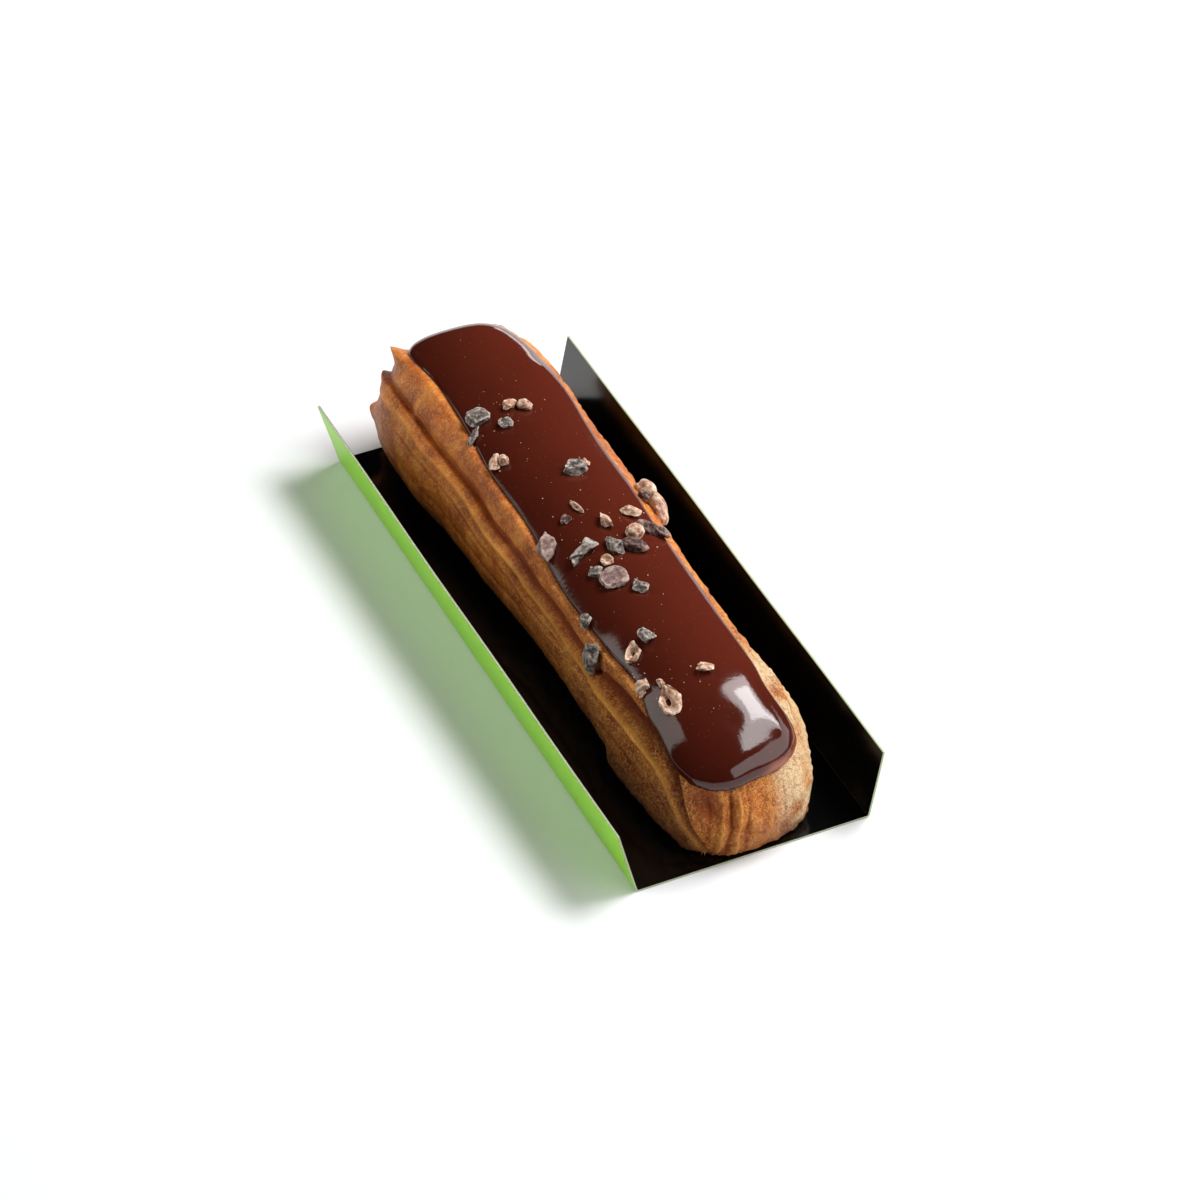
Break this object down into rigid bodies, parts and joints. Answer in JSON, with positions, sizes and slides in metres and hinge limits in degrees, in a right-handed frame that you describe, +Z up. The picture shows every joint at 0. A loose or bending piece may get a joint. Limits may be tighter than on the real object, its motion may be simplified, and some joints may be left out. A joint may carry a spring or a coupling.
{
  "type": "chocolate eclair",
  "caption": "Oblong baked choux pastry with a glossy chocolate icing, scattered cocoa nibs on top, lying in an open-ended folded card with two raised side walls.",
  "frame": {"origin": "centre of the flat base's underside, on the surface it stands on", "axes": "+Y along the eclair towards its back end with the pointed ridge ends, +Z up, +X to the right as seen from the front end"},
  "size_m": [0.0575, 0.1449, 0.0296],
  "materials": {
    "card": "glossy black laminate inside, printed green outside, cream cut edge",
    "baked_choux": "baked golden-brown crust, satin and finely pitted",
    "chocolate_icing": "set mirror-gloss chocolate icing",
    "cocoa_nibs": "broken roasted cocoa nibs, dry and dull, from pinkish tan to slate brown"
  },
  "bodies": {
    "root": {"folded_card": "card", "choux_body": "baked_choux", "chocolate_icing": "chocolate_icing"}
  },
  "joints": []
}
